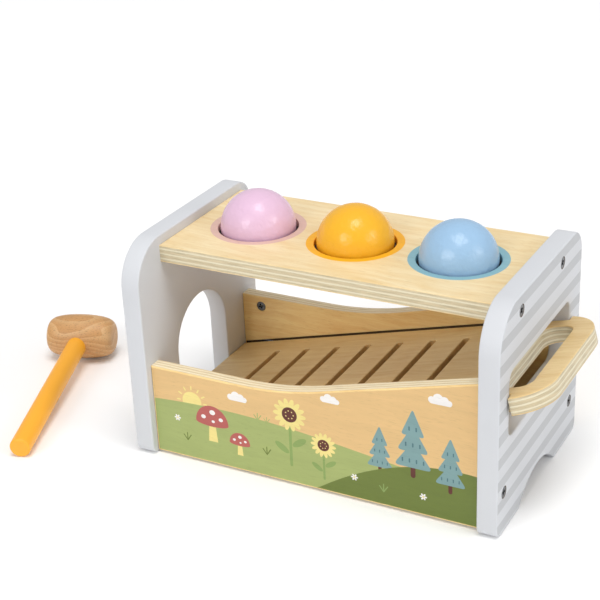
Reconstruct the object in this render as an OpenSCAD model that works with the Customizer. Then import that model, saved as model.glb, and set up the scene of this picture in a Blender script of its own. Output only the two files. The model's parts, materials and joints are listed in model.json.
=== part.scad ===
// Peg pounding bench: three balls in a slatted bench, a pull-out ramp board and a mallet.
// Millimetres, +Z up, +X towards the handle, -Y towards the printed rail, floor at z = 0.

/* [End panels] */
// clear length between the two end panels
inner_len = 207; // [160:1:280]
// thickness of an end panel
panel_t = 12; // [9:0.5:18]
// depth of an end panel, front to back
panel_depth = 132; // [126:1:180]
// height of an end panel
panel_h = 134; // [125:1:180]
// how far the panels' middle lies in front of the line of balls
panel_lead = 6; // [0:0.5:10]
// rounding of the upper front corner
panel_front_r = 26; // [20:1:45]
// rounding of the upper rear corner
panel_rear_r = 16; // [10:1:40]
// rounding of the two lower corners
panel_foot_r = 6; // [2:0.5:10]

/* [Top plate] */
// depth of the top plate
plate_depth = 95.6; // [90:1:120]
// thickness of the top plate
plate_t = 10.6; // [9:0.1:14]
// how far the plate's top lies below the panels' top
plate_drop = 5.8; // [2:0.1:10]
// how far the plate's middle lies behind the line of balls
plate_back = 0.7; // [0:0.1:2]

/* [Balls and grip rings] */
// diameter of a ball
ball_d = 45; // [40:0.5:48]
// radial gap between a ball and its hole
hole_gap = 1.5; // [1:0.1:3]
// depth of a grip ring's upper edge below the plate's top
grip_drop = 4.2; // [3:0.1:5]
// height of a grip ring
grip_h = 3; // [2:0.1:4]
// how deep a grip ring sits in the wall of its hole
grip_bite = 1.5; // [1:0.1:2.5]

/* [Rails] */
// thickness of a side rail
rail_t = 9; // [7:0.5:12]
// gap between a rail and the floor
rail_lift = 1.5; // [1:0.5:8]
// height of the level end of a rail's top edge above the floor
rail_low_z = 58.6; // [52:0.1:66]
// length of the level stretch, up to the bend
rail_level_len = 85.7; // [70:0.1:95]
// radius of the bend in the top edge
rail_bend_r = 200; // [120:5:240]
// how far the front rail's face lies behind the panels' front edge
front_inset = 5; // [3:0.5:9]
// how far the back rail's face lies ahead of the panels' rear edge
back_inset = 9; // [6:0.5:11]

/* [Ramp board] */
// slope of the ramp board and of the rails' top edge
ramp_angle = 15; // [12:0.5:18]
// height of the board's top face at the left panel
ramp_low_z = 23.7; // [20:0.1:28]
// thickness of the ramp board
board_t = 10.5; // [9:0.1:12]
// gap between the board and a rail
board_side_gap = 2; // [1:0.1:4]
// gap between the board's low end and the left panel
board_end_gap = 0.5; // [0.3:0.1:2]
// number of slots
slot_count = 7; // [3:1:8]
// distance from slot to slot, along the board
slot_pitch = 22.1; // [16:0.1:23]
// distance from the board's low end to the first slot's middle
slot_start = 36.5; // [25:0.1:40]
// width of a slot
slot_w = 4.3; // [3:0.1:8]
// wood between a slot's end and the board's edge
slot_side = 16.5; // [13:0.1:28]

/* [Handle] */
// how far the handle stands out of the right panel
handle_reach = 19.5; // [18:0.5:35]
// how far the handle is wider than the board, on each side
handle_shoulder = 5.5; // [1:0.5:8]
// gap between the handle's shoulders and the right panel
shoulder_gap = 0.3; // [0.2:0.1:1]
// rounding of the handle's corners
handle_r = 24; // [8:0.5:26]
// width of the bar behind the finger hole
handle_bar = 12.8; // [10:0.1:18]
// width of the finger hole
finger_w = 19.5; // [14:0.5:20]
// wood between the finger hole's end and the handle's edge
finger_side = 14; // [13.5:0.5:28]
// rounding of the finger hole's corners
finger_r = 8; // [4:0.5:8.4]

/* [Openings in the panels] */
// width of the arch in the left panel, where the balls come out
arch_w = 56; // [52:1:70]
// height of the arch
arch_h = 80.3; // [72:0.1:90]
// height of the window in the right panel
window_h = 39; // [30:0.5:42]
// rounding of the window's corners
window_r = 6; // [4:0.5:14]
// gap between the board and the window's side
window_side_gap = 1; // [0.5:0.1:1.9]
// width of the foot arch under the right panel
foot_arch_w = 60; // [40:1:76]
// height of the foot arch
foot_arch_h = 13; // [8:0.5:20]

/* [Runners] */
// width of a runner under the board
runner_w = 6; // [4:0.5:9]
// height of a runner
runner_h = 7; // [5:0.5:8]
// length of a runner
runner_len = 176; // [120:1:190]
// distance from the left panel to a runner, along the slope
runner_start = 18; // [16:1:24]
// gap between a runner and the board
runner_gap = 0.1; // [0.05:0.05:0.3]

/* [Screws] */
// diameter of a screw's head
screw_head_d = 7.2; // [6:0.1:9]
// diameter of a screw's shank
screw_shank_d = 3.6; // [3:0.1:5]
// length of a screw
screw_len = 36; // [25:1:38]
// height of a countersunk head
screw_head_h = 2.4; // [1.8:0.1:3.5]
// distance between the two screws in the end of the top plate
plate_screw_gap = 66; // [40:1:72]
// depth of those screws' axes below the plate's top
plate_screw_drop = 4; // [3.9:0.1:6]
// height of the lower rail screws above the floor
rail_screw_z = 25.7; // [15:0.1:35]

/* [Rail bolts and barrel nuts] */
// diameter of a barrel nut
nut_d = 6.5; // [5.5:0.1:8]
// length of a barrel nut
nut_len = 8; // [6.5:0.1:8.5]
// distance from the left panel to a barrel nut
nut_run = 13.5; // [10:0.5:20]
// height of the bolts and nuts above the floor
nut_z = 51.8; // [46:0.1:52.5]
// diameter of a bolt's shank
bolt_d = 4; // [3:0.1:4.5]
// how far a bolt's end passes the middle of its nut
bolt_past = 5; // [4:0.5:8]

/* [Mallet] */
// diameter of the head at its middle
head_d = 30; // [24:0.5:38]
// length of the head
head_len = 46; // [38:0.5:60]
// flatness of the head's ends, 2 is an ellipse
head_flatness_share = 6; // [2:0.1:8]
// diameter of the handle
grip_d = 13; // [10:0.5:16]
// length of handle that shows outside the head
grip_len = 120; // [90:1:160]
// depth of the handle's hole in the head
socket_depth = 18; // [10:0.5:20]
// rounding of the handle's free end
grip_end_r = 1.2; // [0.5:0.1:2]
// place of the head's middle, along the bench
mallet_x = -220; // [-260:1:-190]
// place of the head's middle, front to back
mallet_y = 20; // [-20:1:60]
// heading of the mallet, from handle end to head
mallet_turn = 108.7; // [90:0.1:130]

/* [Hidden] */
$fn = 96;
// cuts and fillings run this far past a face
over = 1;
// the rails' bend lies this much lower than a tangent arc, so that it crosses the straight edges
bend_dip = 0.01;
// radial clearance of a fastener or dowel in its hole
fit_gap = 0.05;
// facets of half the mallet head's outline
head_steps = 30;

// the bench along X
x_in = inner_len / 2;
x_out = x_in + panel_t;
// the bench along Y
panel_front = -panel_lead - panel_depth / 2;
panel_rear = -panel_lead + panel_depth / 2;
front_rail_y = panel_front + front_inset;
back_rail_y = panel_rear - back_inset - rail_t;
rails_gap = back_rail_y - front_rail_y - rail_t;
lane_y = (front_rail_y + rail_t + back_rail_y) / 2;
// the bench along Z
plate_top = panel_h - plate_drop;
plate_low = plate_top - plate_t;
// balls and holes, which leave four equal walls along the plate
ball_r = ball_d / 2;
hole_r = ball_r + hole_gap;
hole_wall_count = 4;
ball_pitch = (inner_len + 2 * hole_r) / hole_wall_count;
seat_r = sqrt(ball_r * ball_r - grip_drop * grip_drop) + fit_gap;
grip_top = plate_top - grip_drop;
// ramp board, along its own slope, from the left panel's inner face
board_w = rails_gap - 2 * board_side_gap;
board_from = board_end_gap / cos(ramp_angle);
board_to = (inner_len + panel_t + handle_reach) / cos(ramp_angle);
slot_len = board_w - 2 * slot_side;
handle_w = board_w + 2 * handle_shoulder;
finger_len = handle_w - 2 * finger_side;
finger_to = board_to - handle_bar;
finger_from = finger_to - finger_w;
// window, centred on the board where it passes the right panel
window_w = board_w + 2 * window_side_gap;
window_z = ramp_low_z + (inner_len + panel_t / 2) * tan(ramp_angle) - board_t / 2 / cos(ramp_angle);
// rails
bend_run = rail_bend_r * tan(ramp_angle / 2);
rail_high_z = rail_low_z + (inner_len - rail_level_len) * tan(ramp_angle);
// foot arch as part of a circle
foot_arch_r = (foot_arch_w * foot_arch_w / 4 + foot_arch_h * foot_arch_h) / (2 * foot_arch_h);
// cross recess of a screw
recess_w = screw_head_d * 0.15;
recess_len = screw_head_d * 0.55;
recess_h = screw_head_h * 0.6;
// mallet, lying on the floor on its head and the end of its handle
head_r = head_d / 2;
grip_r = grip_d / 2;
grip_end = head_r + grip_len;
mallet_tilt = asin(head_r / norm([grip_end, grip_r])) - atan(grip_r / grip_end);
// the row's frame is centred on everything, so the bench is moved by this much
mallet_left = mallet_x - head_len / 2;
mallet_front = mallet_y - grip_end * sin(mallet_turn) - grip_r * abs(cos(mallet_turn));
set_x = -(mallet_left + x_out + handle_reach + board_t * sin(ramp_angle)) / 2;
set_y = -(mallet_front + panel_rear) / 2;

// Helpers

// moves the bench's own coordinates into the row's frame
module in_frame() {
    translate([set_x, set_y, 0]) children();
}

// rectangle from [x0, y0] to [x1, y1] with one radius per corner, lower left first, anticlockwise
module rounded_block(x0, y0, x1, y1, radii) {
    corners = [[x0, y0], [x1, y0], [x1, y1], [x0, y1]];
    difference() {
        translate([x0, y0]) square([x1 - x0, y1 - y0]);
        for (i = [0:3]) {
            if (radii[i] > 0) {
                translate(corners[i]) rotate(90 * i) corner_cut(radii[i]);
            }
        }
    }
}

// what a rounded corner takes away, with the corner at the origin
module corner_cut(r) {
    difference() {
        translate([-over, -over]) square([r + over, r + over]);
        translate([r, r]) circle(r);
    }
}

// a slot along Y with round ends, centred on the origin
module slot_shape(width, length) {
    square([width, length - width], center = true);
    for (side = [-1, 1]) {
        translate([0, side * (length - width) / 2]) circle(width / 2);
    }
}

// turns a drawing of [y, z] into a slab of thickness t, from x on
module slab_x(x, t) {
    translate([x, 0, 0]) rotate([90, 0, 90]) linear_extrude(t) children();
}

// turns a drawing of [x, z] into a slab of thickness t, from y on
module slab_y(y, t) {
    translate([0, y + t, 0]) rotate([90, 0, 0]) linear_extrude(t) children();
}

// turns the floor plan [along the slope, y] into the slope's own place, top face at the ramp's plane
module on_slope() {
    translate([-x_in, 0, ramp_low_z]) rotate([0, -ramp_angle, 0]) children();
}

// countersunk screw, head's face at the origin, pointing down
module screw(shank_d, length) {
    difference() {
        screw_body(shank_d, length, 0);
        cross_recess(recess_len);
    }
}

// the screw's outline, or with a gap the hole that takes it
module screw_body(shank_d, length, gap) {
    tip = shank_d;
    translate([0, 0, -screw_head_h]) {
        cylinder(h = screw_head_h, r1 = shank_d / 2 + gap, r2 = screw_head_d / 2 + gap);
    }
    translate([0, 0, tip - length]) cylinder(h = length - tip - screw_head_h / 2, r = shank_d / 2 + gap);
    translate([0, 0, -length - gap]) {
        cylinder(h = tip + gap, r1 = shank_d / 4 + gap, r2 = shank_d / 2 + gap);
    }
}

// cross in the face at the origin
module cross_recess(length) {
    for (turn = [0, 90]) {
        rotate(turn) translate([-length / 2, -recess_w / 2, -recess_h]) cube([length, recess_w, recess_h + over]);
    }
}

// places a screw's drawing at [y, z] on an end panel's outer face, side -1 is left
module at_panel(side, y, z) {
    translate([side * x_out, y, z]) rotate([0, side * 90, 0]) children();
}

// the two screws into the end of the top plate
module plate_screw_places(side) {
    for (step = [-1, 1]) {
        at_panel(side, lane_y + step * plate_screw_gap / 2, plate_top - plate_screw_drop) children();
    }
}

// the two screws into the ends of the rails, at height z
module rail_screw_places(side, z) {
    at_panel(side, front_rail_y + rail_t / 2, z) children();
    at_panel(side, back_rail_y + rail_t / 2, z) children();
}

// holes that the fasteners of one end need
module fastener_holes(side) {
    plate_screw_places(side) screw_body(screw_shank_d, screw_len, fit_gap);
    rail_screw_places(side, rail_screw_z) screw_body(screw_shank_d, screw_len, fit_gap);
    if (side < 0) {
        rail_screw_places(side, nut_z) screw_body(bolt_d, panel_t + nut_run + bolt_past, fit_gap);
    }
}

// End panels

module panel_outline() {
    radii = [panel_foot_r, panel_foot_r, panel_rear_r, panel_front_r];
    rounded_block(panel_front, 0, panel_rear, panel_h, radii);
}

module arch_outline() {
    translate([lane_y, arch_h - arch_w / 2]) circle(arch_w / 2);
    translate([lane_y - arch_w / 2, -over]) square([arch_w, arch_h - arch_w / 2 + over]);
}

module window_outline() {
    low = window_z - window_h / 2;
    radii = [window_r, window_r, window_r, window_r];
    rounded_block(lane_y - window_w / 2, low, lane_y + window_w / 2, low + window_h, radii);
}

module foot_arch_outline() {
    translate([lane_y, foot_arch_h - foot_arch_r]) circle(foot_arch_r);
}

module left_panel() {
    color("white") in_frame() difference() {
        slab_x(-x_out, panel_t) difference() {
            panel_outline();
            arch_outline();
        }
        fastener_holes(-1);
    }
}

module right_panel() {
    color("lightgray") in_frame() difference() {
        slab_x(x_in, panel_t) difference() {
            panel_outline();
            window_outline();
            foot_arch_outline();
        }
        fastener_holes(1);
    }
}

// Top plate and what grips the balls

module ball_places(first, last) {
    for (i = [first:last]) {
        translate([i * ball_pitch, 0, 0]) children();
    }
}

module top_plate() {
    color("wheat") in_frame() difference() {
        translate([-x_in, plate_back - plate_depth / 2, plate_low]) cube([inner_len, plate_depth, plate_t]);
        ball_places(-1, 1) {
            translate([0, 0, plate_low - over]) cylinder(h = plate_t + 2 * over, r = hole_r);
            translate([0, 0, grip_top - grip_h]) cylinder(h = grip_h, r = hole_r + grip_bite);
        }
        fastener_holes(-1);
        fastener_holes(1);
    }
}

module grip_ring(i) {
    color("dimgray") in_frame() ball_places(i, i) translate([0, 0, grip_top - grip_h]) difference() {
        cylinder(h = grip_h, r = hole_r + grip_bite - fit_gap);
        translate([0, 0, -over]) cylinder(h = grip_h + 2 * over, r = seat_r);
    }
}

module ball(i, paint) {
    color(paint) in_frame() ball_places(i, i) translate([0, 0, plate_top]) sphere(ball_r);
}

// Rails

module rail_outline() {
    corner = [rail_level_len - x_in, rail_low_z];
    low = corner - [bend_run, 0];
    high = corner + bend_run * [cos(ramp_angle), sin(ramp_angle)];
    middle = low + [0, rail_bend_r - bend_dip];
    under = [0, over];
    polygon([[-x_in, rail_lift], [x_in, rail_lift], [x_in, rail_high_z], corner, [-x_in, rail_low_z]]);
    difference() {
        polygon([low - under, corner - under, high - under, high, middle, low]);
        translate(middle) circle(r = rail_bend_r, $fn = 4 * $fn);
    }
}

// a barrel nut's place in a rail, its face on the rail's inner face
module nut_place(face_y, inward) {
    translate([nut_run - x_in, face_y, nut_z]) rotate([inward * 90, 0, 0]) children();
}

module rail(y, face_y, inward) {
    difference() {
        slab_y(y, rail_t) rail_outline();
        fastener_holes(-1);
        fastener_holes(1);
        nut_place(face_y, inward) {
            translate([0, 0, -nut_len - fit_gap]) cylinder(h = nut_len + fit_gap + over, r = nut_d / 2 + fit_gap);
        }
    }
}

module front_rail() {
    color("burlywood") in_frame() rail(front_rail_y, front_rail_y + rail_t, -1);
}

module back_rail() {
    color("burlywood") in_frame() rail(back_rail_y, back_rail_y, 1);
}

module runner(y) {
    color("tan") in_frame() on_slope() {
        translate([runner_start, y, -board_t - runner_gap - runner_h]) cube([runner_len, runner_w, runner_h]);
    }
}

// Ramp board with its handle

module board_slots() {
    for (i = [0:slot_count - 1]) {
        translate([slot_start + i * slot_pitch, lane_y]) slot_shape(slot_w, slot_len);
    }
}

module finger_hole() {
    radii = [finger_r, finger_r, finger_r, finger_r];
    rounded_block(finger_from, lane_y - finger_len / 2, finger_to, lane_y + finger_len / 2, radii);
}

// the part that slides between the rails and through the window
module board_body() {
    translate([0, 0, -board_t]) linear_extrude(board_t) difference() {
        translate([board_from, lane_y - board_w / 2]) square([finger_to - board_from, board_w]);
        board_slots();
        finger_hole();
    }
}

// the wider part, which stops at the right panel's outer face
module handle_body() {
    radii = [0, handle_r, handle_r, 0];
    translate([0, 0, -board_t]) linear_extrude(board_t) difference() {
        rounded_block(finger_from - finger_w, lane_y - handle_w / 2, board_to, lane_y + handle_w / 2, radii);
        finger_hole();
    }
}

module ramp_board() {
    color("khaki") in_frame() {
        on_slope() board_body();
        difference() {
            on_slope() handle_body();
            translate([-x_out, panel_front, 0]) cube([2 * x_out + shoulder_gap, panel_depth, panel_h]);
        }
    }
}

// Fasteners

module plate_screws(side) {
    color("silver") in_frame() plate_screw_places(side) screw(screw_shank_d, screw_len);
}

module rail_screws(side) {
    color("silver") in_frame() rail_screw_places(side, rail_screw_z) screw(screw_shank_d, screw_len);
}

module rail_bolts() {
    color("silver") in_frame() rail_screw_places(-1, nut_z) screw(bolt_d, panel_t + nut_run + bolt_past);
}

module barrel_nut() {
    difference() {
        translate([0, 0, -nut_len]) cylinder(h = nut_len, r = nut_d / 2);
        cross_recess(recess_len);
    }
}

module barrel_nuts() {
    color("silver") in_frame() difference() {
        union() {
            nut_place(front_rail_y + rail_t, -1) barrel_nut();
            nut_place(back_rail_y, 1) barrel_nut();
        }
        rail_screw_places(-1, nut_z) screw_body(bolt_d, panel_t + nut_run + bolt_past, fit_gap);
    }
}

// Mallet, drawn with its head's middle at the origin and its handle towards -X

module in_hand() {
    in_frame() translate([mallet_x, mallet_y, head_r]) rotate([0, 0, mallet_turn]) rotate([0, -mallet_tilt, 0]) {
        children();
    }
}

// half outline of the head, radius against length, from one end to the other
module head_outline() {
    power = 2 / head_flatness_share;
    function at(i) = -90 + 180 * i / head_steps;
    function across(i) = head_r * pow(cos(at(i)), power);
    function along(i) = head_len / 2 * sin(at(i));
    inner = [for (i = [1:head_steps - 1]) [across(i), along(i)]];
    polygon(concat([[0, -head_len / 2]], inner, [[0, head_len / 2]]));
}

module mallet_head() {
    color("peru") in_hand() difference() {
        rotate([90, 0, 0]) rotate_extrude() head_outline();
        translate([-head_r - over, 0, 0]) rotate([0, 90, 0]) cylinder(h = socket_depth + over, r = grip_r + fit_gap);
    }
}

module mallet_handle() {
    flat = grip_r - grip_end_r;
    color("orange") in_hand() translate([-grip_end, 0, 0]) rotate([0, 90, 0]) {
        translate([0, 0, grip_end_r]) cylinder(h = grip_len + socket_depth - grip_end_r, r = grip_r);
        cylinder(h = grip_end_r, r = flat);
        intersection() {
            cylinder(h = grip_end_r, r = grip_r);
            translate([0, 0, grip_end_r]) rotate_extrude() translate([flat, 0]) circle(grip_end_r);
        }
    }
}

// The part

left_panel();
right_panel();
top_plate();
front_rail();
back_rail();
runner(front_rail_y + rail_t);  // front_runner
runner(back_rail_y - runner_w);  // back_runner
ramp_board();
ball(-1, "pink");  // ball_left
ball(0, "orange");  // ball_middle
ball(1, "lightblue");  // ball_right
grip_ring(-1);  // grip_ring_left
grip_ring(0);  // grip_ring_middle
grip_ring(1);  // grip_ring_right
plate_screws(-1);  // plate_screws_left
plate_screws(1);  // plate_screws_right
rail_screws(-1);  // rail_screws_left
rail_screws(1);  // rail_screws_right
rail_bolts();
barrel_nuts();
mallet_head();
mallet_handle();
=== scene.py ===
"""Dresses a peg pounding bench: plywood, sprayed paint, a printed rail, painted balls and a beech mallet.

Metres, +Z up, +X towards the ramp's handle, -Y towards the printed rail, the floor at z = 0.
"""

import json
import math

import bpy
import numpy as np
from mathutils import Euler, Matrix, Vector
from mathutils.geometry import delaunay_2d_cdt


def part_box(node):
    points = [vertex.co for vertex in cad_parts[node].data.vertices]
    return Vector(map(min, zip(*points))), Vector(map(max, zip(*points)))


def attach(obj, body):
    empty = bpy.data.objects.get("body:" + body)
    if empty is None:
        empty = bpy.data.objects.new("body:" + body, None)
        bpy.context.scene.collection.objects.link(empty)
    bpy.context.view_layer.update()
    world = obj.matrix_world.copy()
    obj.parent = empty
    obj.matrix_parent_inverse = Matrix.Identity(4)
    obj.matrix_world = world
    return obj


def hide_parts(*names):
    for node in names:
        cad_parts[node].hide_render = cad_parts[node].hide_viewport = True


bl_info = {
    "name": "Peg Pounding Bench",
    "version": (1, 0, 0),
    "blender": (4, 5, 0),
    "location": "View3D > Sidebar > Pounding Bench",
    "description": "Dresses the pounding bench in plywood, paint, print, steel and beech",
    "category": "Object",
}

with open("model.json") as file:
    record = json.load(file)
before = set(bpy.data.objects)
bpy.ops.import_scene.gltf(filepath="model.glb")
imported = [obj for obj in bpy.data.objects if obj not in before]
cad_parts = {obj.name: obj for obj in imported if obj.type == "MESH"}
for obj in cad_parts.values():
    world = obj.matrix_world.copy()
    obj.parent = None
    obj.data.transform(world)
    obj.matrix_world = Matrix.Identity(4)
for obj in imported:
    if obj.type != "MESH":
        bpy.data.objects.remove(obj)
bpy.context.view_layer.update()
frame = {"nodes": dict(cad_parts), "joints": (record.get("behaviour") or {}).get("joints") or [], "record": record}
RECORD = frame["record"]
BODY_OF = {node: body for body, nodes in RECORD["behaviour"]["bodies"].items() for node in nodes}
MM = 0.001


def srgb(code):
    """Linear colour with alpha of a hex value such as #ffffff."""
    parts = [int(code[i : i + 2], 16) / 255 for i in (1, 3, 5)]
    return [p / 12.92 if p <= 0.04045 else ((p + 0.055) / 1.055) ** 2.4 for p in parts] + [1.0]


def colour(name, code, description):
    """A colour that a user can change."""
    return bpy.props.FloatVectorProperty(
        name=name, description=description, subtype="COLOR", size=4, min=0, max=1, default=srgb(code)
    )


def length(name, millimetres, description):
    """A length that a user can change, given in millimetres."""
    return bpy.props.FloatProperty(
        name=name, description=description, unit="LENGTH", precision=5, min=0, default=millimetres * MM
    )


class BenchSizes(bpy.types.PropertyGroup):
    """Sizes that only the finish has, such as rounded edges and printed stripes."""

    panel_round: length("Panel rounding", 0.9, "Rounding of the painted panels' edges")
    plate_round: length("Plate rounding", 0.5, "Rounding of the top plate's edges")
    rail_round: length("Rail rounding", 0.7, "Rounding of the rails' edges")
    board_round: length("Board rounding", 0.7, "Rounding of the ramp board's edges")
    runner_round: length("Runner rounding", 0.4, "Rounding of the runners' edges")
    flat_rim: length("Flat rim", 0.2, "Width of the flat strip beside each rounded edge")
    ring_width: length("Painted ring", 4.6, "Width of the painted ring round each hole")
    stripe_pitch: length("Stripe pitch", 13.8, "Distance from one printed stripe to the next")
    stripe_start: length("Stripe start", 2.5, "Height of the lowest printed stripe's lower edge")
    recess_depth: length("Recess depth", 2.0, "Depth of the cross in a screw's head")
    ball_wave: length("Ball unevenness", 0.05, "How far a turned ball strays from a true sphere")
    head_wave: length("Mallet unevenness", 0.15, "How far the turned mallet head strays from its outline")
    head_flatness: bpy.props.FloatProperty(
        name="Head flatness",
        description="How flat the mallet head's ends are, 2 for an ellipse",
        min=2,
        max=12,
        default=6,
    )


class BenchColours(bpy.types.PropertyGroup):
    """Colours of the paints, inks, woods and metals."""

    panel: colour("Panel paint", "#d2d4d8", "Cool white of the end panels")
    stripe: colour("Stripe ink", "#bec0c3", "Pale grey stripes on the right panel")
    plate_face: colour("Plate veneer", "#f4e0b5", "Pale birch of the top plate")
    plate_figure: colour("Plate figure", "#e7c88f", "Darker figure in the plate's birch")
    rail_face: colour("Rail veneer", "#fbdf9f", "Veneer of the rails")
    rail_figure: colour("Rail figure", "#e9be7c", "Darker figure in the rails' veneer")
    board_face: colour("Board veneer", "#e7cd99", "Veneer of the ramp board")
    board_figure: colour("Board figure", "#d5b175", "Darker figure in the board's veneer")
    core: colour("Ply core", "#ece3c8", "Plies that run along the board")
    core_cross: colour("Ply cross", "#dccba6", "Plies that run across the board")
    # Partly painted shade: bare fibreboard, drawn darker than it is so that the gap round each screw head looks
    # shaded
    fibreboard: colour("Bare fibreboard", "#5c4a36", "Unpainted fibreboard in the panels' screw holes")
    ball_pink: colour("Pink ball", "#e3bfd8", "Paint of the left ball")
    ball_orange: colour("Orange ball", "#f3b428", "Paint of the middle ball")
    ball_blue: colour("Blue ball", "#9bbedd", "Paint of the right ball")
    ring_pink: colour("Pink ring", "#deb9ab", "Ring printed round the left hole")
    ring_orange: colour("Orange ring", "#f6b422", "Ring printed round the middle hole")
    ring_blue: colour("Blue ring", "#88b5c0", "Ring printed round the right hole")
    beech: colour("Beech", "#cd9a63", "Wood of the mallet head")
    beech_line: colour("Beech growth line", "#e6c291", "Pale growth lines of the mallet head")
    mallet_paint: colour("Mallet paint", "#fbb02e", "Paint of the mallet's handle")
    # Painted shade: this darker brown on the slots' walls stands in for the shade inside the narrow slots, and the
    # grooves' near black is made from it
    routed: colour("Routed wall", "#d6ae72", "Walls of the ramp's slots, browned by the cutter")
    steel: colour("Zinc plate", "#77797c", "Zinc plated steel of the screws")
    rubber: colour("Rubber", "#232324", "Rubber of the grip rings")
    sky: colour("Print sky", "#e2bc82", "Warm tan of the printed sky")
    hill_light: colour("Print light hill", "#a4b06c", "Light green hill")
    hill_dark: colour("Print dark hill", "#6b7a33", "Dark green hill")
    leaf: colour("Print leaf", "#8aa25c", "Mid green leaves and outlines")
    fir: colour("Print fir", "#7d9fa0", "Blue-grey fir trees")
    fir_mark: colour("Print fir marks", "#4d757c", "Dark marks on the fir trees")
    cap_red: colour("Print red", "#b85e58", "Muted red toadstool caps")
    petal: colour("Print petal", "#efdc8c", "Pale yellow petals and sun")
    seed: colour("Print brown", "#5f2d22", "Dark brown flower middles and trunks")
    cloud: colour("Print white", "#f3efec", "White clouds and dots")


def look():
    """The sizes and colours that the scene holds."""
    scene = bpy.context.scene
    return scene.bench_sizes, scene.bench_colours


MATHS = "ShaderNodeMath"
VECTORS = "ShaderNodeVectorMath"


def add(tree, kind, inputs=(), **settings):
    """Adds a node, sets it up, and gives or links its inputs, which are listed in order or by name."""
    node = tree.nodes.new(kind)
    for name, value in settings.items():
        setattr(node, name, value)
    for name, value in inputs.items() if isinstance(inputs, dict) else enumerate(inputs):
        if isinstance(value, bpy.types.Node):
            value = next(socket for socket in value.outputs if socket.enabled)
        if isinstance(value, bpy.types.NodeSocket):
            tree.links.new(value, node.inputs[name])
        else:
            node.inputs[name].default_value = value
    return node


# Materials

PLIES = 7
SATIN = {"Roughness": 0.42, "Specular IOR Level": 0.42}
# Sizes of the patterns' grains in millimetres, along the wood first
PAINT_CLOUD = (34, 34, 34)
PAINT_RIPPLE = (7, 7, 7)
CLOUDY = (38, 16, 16)
DRIFT = (60, 26, 26)
DRIFT_ASIDE = (0, 16, 16)
STREAK = (46, 3.4, 3.4)
BIRCH_FLECK = (6, 0.7, 0.7)
PLY_DRIFT = (26, 26, 26)
BEECH_DRIFT = (26, 16, 16)
BEECH_CLOUD = (24, 12, 12)
SCUFF = (0.9, 0.9, 0.9)
BLOOM = (2.2, 2.2, 2.2)
FLOOR_CLOUD = (300, 300, 300)
# Fibres, pores and ray flecks are too fine for the render, so they are drawn as coarse as it needs
FIBRE = (7, 0.32, 0.32)
PORE = (1.6, 1.6, 0.5)
CROSS_PLY_LINE = (12, 12, 0.3)
RAY_FLECK = (1.6, 0.55, 0.55)
# How far plies wander in their sheet, in millimetres, and how thick a face ply is, as a share of the others
PLY_WAVE = 0.4
FACE_PLY = 0.45
# Beech growth lines: their distance, how far they wander, and where the tree's heart lies from the head
GROWTH_STEP = 4.4
GROWTH_WANDER = 16.0
HEART = (0, 12, -42)
# Share of each stripe's pitch that is grey, and how deep the print reaches on the panel
STRIPE_SHARE = 0.46
PRINT_DEPTH = 0.1 * MM


def start_material(name):
    """A new empty material, with its tree."""
    made = bpy.data.materials.new(name)
    made.use_nodes = True
    made.node_tree.nodes.clear()
    return made, made.node_tree


def coat(made, tone, constants, height=None, relief=0.0):
    """Ends a material in its shader, with bumps of relief millimetres where a height is given."""
    tree = made.node_tree
    inputs = {"Base Color": tone, **constants}
    if height:
        inputs["Normal"] = add(tree, "ShaderNodeBump", {"Height": height, "Distance": relief * MM})
    shader = add(tree, "ShaderNodeBsdfPrincipled", inputs)
    add(tree, "ShaderNodeOutputMaterial", {"Surface": shader})
    return made


def place_in_mm(tree, turn=(0, 0, 0), centre=(0, 0, 0)):
    """Object coordinates in millimetres from centre, turned so that grain runs along X and depth along Z."""
    coordinates = add(tree, "ShaderNodeTexCoord").outputs["Object"]
    moved = add(tree, VECTORS, [coordinates, centre], operation="SUBTRACT")
    return add(tree, "ShaderNodeMapping", {"Vector": moved, "Rotation": turn, "Scale": (1 / MM,) * 3})


def mottle(tree, place, size, detail=2.0, roughness=0.5, distortion=0.0):
    """Noise from 0 to 1 whose grains are size millimetres along each axis."""
    scaled = add(tree, VECTORS, [place, size], operation="DIVIDE")
    shape = {"Scale": 1.0, "Detail": detail, "Roughness": roughness, "Distortion": distortion}
    return add(tree, "ShaderNodeTexNoise", {"Vector": scaled, **shape})


def blend(tree, factor, first, second, low=0.0, high=1.0):
    """Colour that goes from first to second as factor goes from low to high."""
    share = add(tree, "ShaderNodeMapRange", {"Value": factor, "From Min": low, "From Max": high})
    return add(tree, "ShaderNodeMix", {0: share, 6: first, 7: second}, data_type="RGBA")


def shade(tint, factor):
    """A colour made darker or lighter."""
    return [min(1.0, c * factor) for c in tint[:3]] + [1.0]


def sprayed_paint(name, paint, roughness=0.5, peel=1.6, dimple=0.012, shine=0.5, ink=None):
    """Water-based satin paint, sprayed: even colour, fine orange peel and soft highlights.

    The peel's width and its depth, dimple, are in millimetres. The balls' is drawn deeper than real, to show.
    """
    made, tree = start_material(name)
    place = place_in_mm(tree)
    cloudy = mottle(tree, place, PAINT_CLOUD, 3)
    tinted = blend(tree, cloudy, shade(paint, 0.985), shade(paint, 1.012), 0.3, 0.7)
    if ink:
        tinted = ink(tree, tinted)
    fine = mottle(tree, place, (peel, peel, peel), 2)
    slow = mottle(tree, place, PAINT_RIPPLE, 1)
    height = add(tree, MATHS, [slow, 3.0, fine], operation="MULTIPLY_ADD")
    return coat(made, tinted, {"Roughness": roughness, "Specular IOR Level": shine}, height, dimple)


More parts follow.
